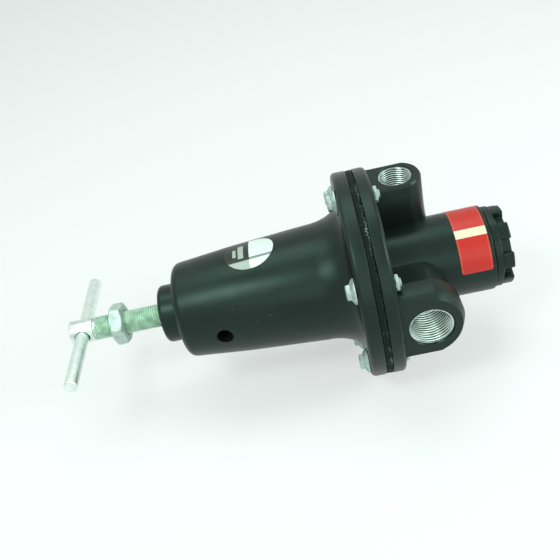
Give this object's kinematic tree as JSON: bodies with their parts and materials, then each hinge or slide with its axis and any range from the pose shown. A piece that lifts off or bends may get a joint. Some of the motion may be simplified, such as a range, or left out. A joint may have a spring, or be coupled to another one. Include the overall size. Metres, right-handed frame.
{
  "type": "t-handle air regulator",
  "caption": "Pressure regulator with a T-bar adjusting screw, tapered spring bonnet, flanged diaphragm joint and a ported valve body with a castellated bottom plug.",
  "frame": {"origin": "where the axes of the four ports meet on the regulator's own axis", "axes": "+X along the regulator's axis from the T-bar to the bottom plug, -Y out of the front pipe port, +Z out of the open small port"},
  "size_m": [0.2612, 0.121, 0.121],
  "materials": {
    "black_enamel": "semi-gloss black enamel on castings",
    "zinc_plated_steel": "bright zinc plate",
    "spring_steel": "oiled steel",
    "brass": "machined",
    "nitrile_rubber": "matte",
    "gasket_fibre": "matte pressed fibre"
  },
  "bodies": {
    "housing": {"bonnet": "black_enamel", "valve_body": "black_enamel", "bottom_plug": "black_enamel", "plug_o_ring": "nitrile_rubber", "gauge_plug": "zinc_plated_steel", "diaphragm": "nitrile_rubber", "flange_gasket": "gasket_fibre", "flange_screw_1": "zinc_plated_steel", "flange_screw_2": "zinc_plated_steel", "flange_screw_3": "zinc_plated_steel", "flange_screw_4": "zinc_plated_steel", "flange_screw_5": "zinc_plated_steel", "flange_screw_6": "zinc_plated_steel", "flange_nut_1": "zinc_plated_steel", "flange_nut_2": "zinc_plated_steel", "flange_nut_3": "zinc_plated_steel", "flange_nut_4": "zinc_plated_steel", "flange_nut_5": "zinc_plated_steel", "flange_nut_6": "zinc_plated_steel", "valve_seat": "brass", "seat_o_ring": "nitrile_rubber", "range_spring": "spring_steel", "valve_spring": "spring_steel"},
    "thrust": {"spring_rest": "spring_steel", "thrust_ball": "spring_steel"},
    "handle": {"adjusting_screw": "zinc_plated_steel", "tee_bar": "zinc_plated_steel"},
    "locking": {"lock_nut": "zinc_plated_steel"},
    "diaphragm_stack": {"diaphragm_plate": "zinc_plated_steel", "relief_stud": "brass", "diaphragm_nut": "zinc_plated_steel"},
    "valve": {"valve_pin": "spring_steel", "valve_poppet": "brass", "poppet_disc": "nitrile_rubber"}
  },
  "joints": [
    {"name": "screw_travel", "type": "slide", "parent": "housing", "child": "thrust", "axis": [1, 0, 0], "range_m": [0, 0.01411], "deforming": ["range_spring"]},
    {"name": "handle_turn", "type": "hinge", "parent": "thrust", "child": "handle", "pos_m": [-0.19905, 0, 0], "axis": [1, 0, 0], "range_deg": [0, 3600]},
    {"name": "lock_nut_run", "type": "slide", "parent": "handle", "child": "locking", "axis": [1, 0, 0], "range_m": [0, 0.00898]},
    {"name": "diaphragm_stroke", "type": "slide", "parent": "housing", "child": "diaphragm_stack", "axis": [1, 0, 0], "range_m": [0, 0.0025], "stiffness_N_per_m": 4000, "deforming": ["diaphragm"]},
    {"name": "valve_stroke", "type": "slide", "parent": "housing", "child": "valve", "axis": [1, 0, 0], "range_m": [0, 0.0025], "stiffness_N_per_m": 2000, "deforming": ["valve_spring"]}
  ],
  "couplings": [
    {"joint": "handle_turn", "follows": "screw_travel", "rad_per_m": 4452.6},
    {"joint": "valve_stroke", "follows": "diaphragm_stroke", "ratio": 1}
  ]
}
